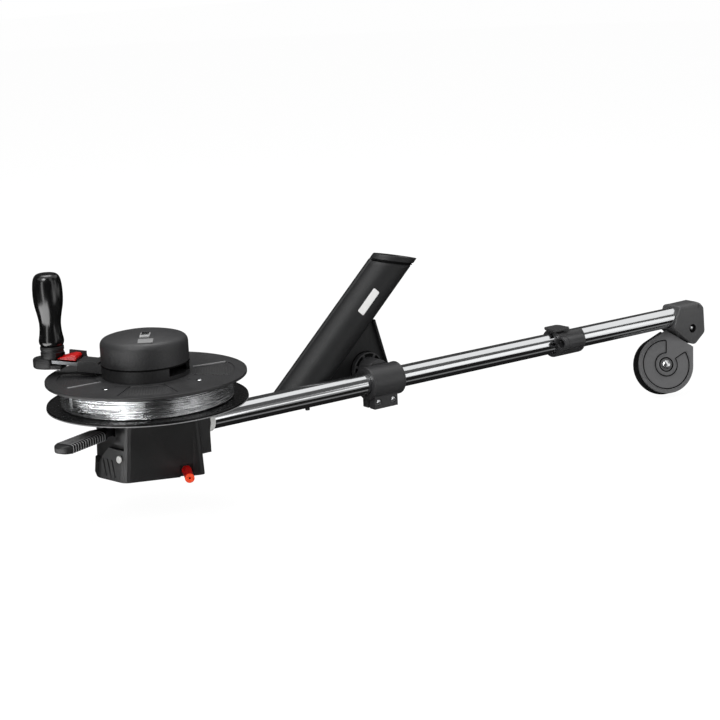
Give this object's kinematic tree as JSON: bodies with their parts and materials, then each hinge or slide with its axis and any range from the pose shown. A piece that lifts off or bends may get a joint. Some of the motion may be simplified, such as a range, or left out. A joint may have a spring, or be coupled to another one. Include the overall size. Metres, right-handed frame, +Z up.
{
  "type": "manual downrigger",
  "caption": "Manual downrigger: hand-cranked wire spool with counter and brake on a moulded frame, steel boom with tube rod holder, wire clip and swivelling pulley head.",
  "frame": {"origin": "on the axis of the spool's spindle, at the underside of the frame housing", "axes": "+Z up along the spindle, +X from the spindle out along the boom, -Y the side of the red lock pin"},
  "size_m": [0.9319, 0.2166, 0.2666],
  "materials": {
    "black_plastic": "textured",
    "gloss_black": "glossy",
    "grey_plastic": "matt",
    "polished_steel": "polished",
    "steel": "satin",
    "cast_drum": "machined",
    "red_plastic": "satin",
    "pale_plastic": "satin",
    "friction_lining": "matt",
    "clear_window": "clear"
  },
  "bodies": {
    "frame": {"housing": "black_plastic", "base_plate": "black_plastic", "base_screw_1": "steel", "base_screw_2": "steel", "case_screw": "pale_plastic", "spindle": "steel", "spindle_nut": "steel", "crank_nut": "steel", "lock_spring": "steel", "lever_pin": "steel", "counter_base": "black_plastic", "counter_cap": "black_plastic", "counter_window": "clear_window", "counter_axle": "steel", "boom_tube": "polished_steel", "socket_bolt": "steel", "socket_nut": "steel", "socket_ring": "polished_steel", "boom_peg": "black_plastic", "rod_clamp": "black_plastic", "clamp_screw_1": "steel", "clamp_screw_2": "steel", "rod_pivot_bolt": "steel", "clip_upper": "black_plastic", "clip_lower": "black_plastic", "clip_screw": "steel", "end_cap": "black_plastic", "end_cap_bolt": "steel", "swivel_bolt": "steel"},
    "spool": {"spool_lower": "black_plastic", "spool_upper": "black_plastic", "spool_screw_1": "steel", "spool_screw_2": "steel", "spool_screw_3": "steel", "spool_screw_4": "steel", "spool_bush": "pale_plastic", "brake_drum": "cast_drum", "wire_core": "polished_steel", "wire_winding": "polished_steel"},
    "crank": {"crank_arm": "black_plastic", "clutch_disc": "friction_lining", "latch_pin": "steel"},
    "crank_slide_bar": {"crank_bar": "steel", "crank_foot": "black_plastic", "knob_axle": "steel"},
    "knob": {"knob": "gloss_black"},
    "latch": {"latch": "red_plastic"},
    "brake_lever": {"brake_lever": "black_plastic", "brake_pad": "friction_lining"},
    "lock_pin": {"lock_pin": "red_plastic"},
    "hundreds_wheel": {"hundreds_wheel": "pale_plastic"},
    "tens_wheel": {"tens_wheel": "pale_plastic"},
    "units_wheel": {"units_wheel": "pale_plastic"},
    "pulley_head": {"pulley_plate_near": "grey_plastic", "pulley_plate_far": "grey_plastic", "pulley_axle": "steel", "pulley_nut": "steel"},
    "sheave": {"sheave": "black_plastic"},
    "rod_holder": {"rod_holder": "black_plastic"}
  },
  "joints": [
    {"name": "spool_spin", "type": "hinge", "parent": "frame", "child": "spool", "pos_m": [0, 0, 0.09], "axis": [0, 0, 1], "continuous": true},
    {"name": "crank_turn", "type": "hinge", "parent": "frame", "child": "crank", "pos_m": [0, 0, 0.11], "axis": [0, 0, 1], "continuous": true},
    {"name": "crank_slide", "type": "slide", "parent": "crank", "child": "crank_slide_bar", "axis": [-0.6761, 0.7301, 0.0993], "range_m": [0, 0.04]},
    {"name": "latch_tilt", "type": "hinge", "parent": "crank", "child": "latch", "pos_m": [-0.05262, 0.05683, 0.12378], "axis": [0.7337, 0.6794, 0], "range_deg": [0, 12], "stiffness_Nm_per_rad": 0.02},
    {"name": "knob_spin", "type": "hinge", "parent": "crank_slide_bar", "child": "knob", "pos_m": [-0.07066, 0.07631, 0.17], "axis": [0, 0, 1], "continuous": true},
    {"name": "units_count", "type": "hinge", "parent": "frame", "child": "units_wheel", "pos_m": [-0.004, -0.012, 0.1381], "axis": [0.809, -0.5878, 0], "continuous": true},
    {"name": "tens_count", "type": "hinge", "parent": "frame", "child": "tens_wheel", "pos_m": [-0.004, -0.012, 0.1381], "axis": [0.809, -0.5878, 0], "continuous": true},
    {"name": "hundreds_count", "type": "hinge", "parent": "frame", "child": "hundreds_wheel", "pos_m": [-0.004, -0.012, 0.1381], "axis": [0.809, -0.5878, 0], "continuous": true},
    {"name": "brake_lever", "type": "hinge", "parent": "frame", "child": "brake_lever", "pos_m": [-0.036, 0.007, 0.0505], "axis": [0, 0, 1], "range_deg": [-25, 0]},
    {"name": "lock_pin", "type": "slide", "parent": "frame", "child": "lock_pin", "axis": [-0.4226, -0.9063, 0], "range_m": [0, 0.008], "stiffness_N_per_m": 400, "deforming": ["lock_spring"]},
    {"name": "pulley_swivel", "type": "hinge", "parent": "frame", "child": "pulley_head", "pos_m": [0.745, -0.03, -0.0107], "axis": [0.6293, 0, 0.7771], "range_deg": [-62, 118]},
    {"name": "sheave_spin", "type": "hinge", "parent": "pulley_head", "child": "sheave", "pos_m": [0.745, -0.03, -0.0107], "axis": [0.3648, 0.8829, -0.2954], "continuous": true},
    {"name": "rod_holder_tilt", "type": "hinge", "parent": "frame", "child": "rod_holder", "pos_m": [0.292, -0.03, 0.059], "axis": [0, 1, 0], "range_deg": [-40, 40]}
  ],
  "couplings": [
    {"joint": "crank_turn", "follows": "spool_spin", "ratio": 1},
    {"joint": "units_count", "follows": "spool_spin", "ratio": 0.2},
    {"joint": "tens_count", "follows": "spool_spin", "ratio": 0.02},
    {"joint": "hundreds_count", "follows": "spool_spin", "ratio": 0.002}
  ]
}
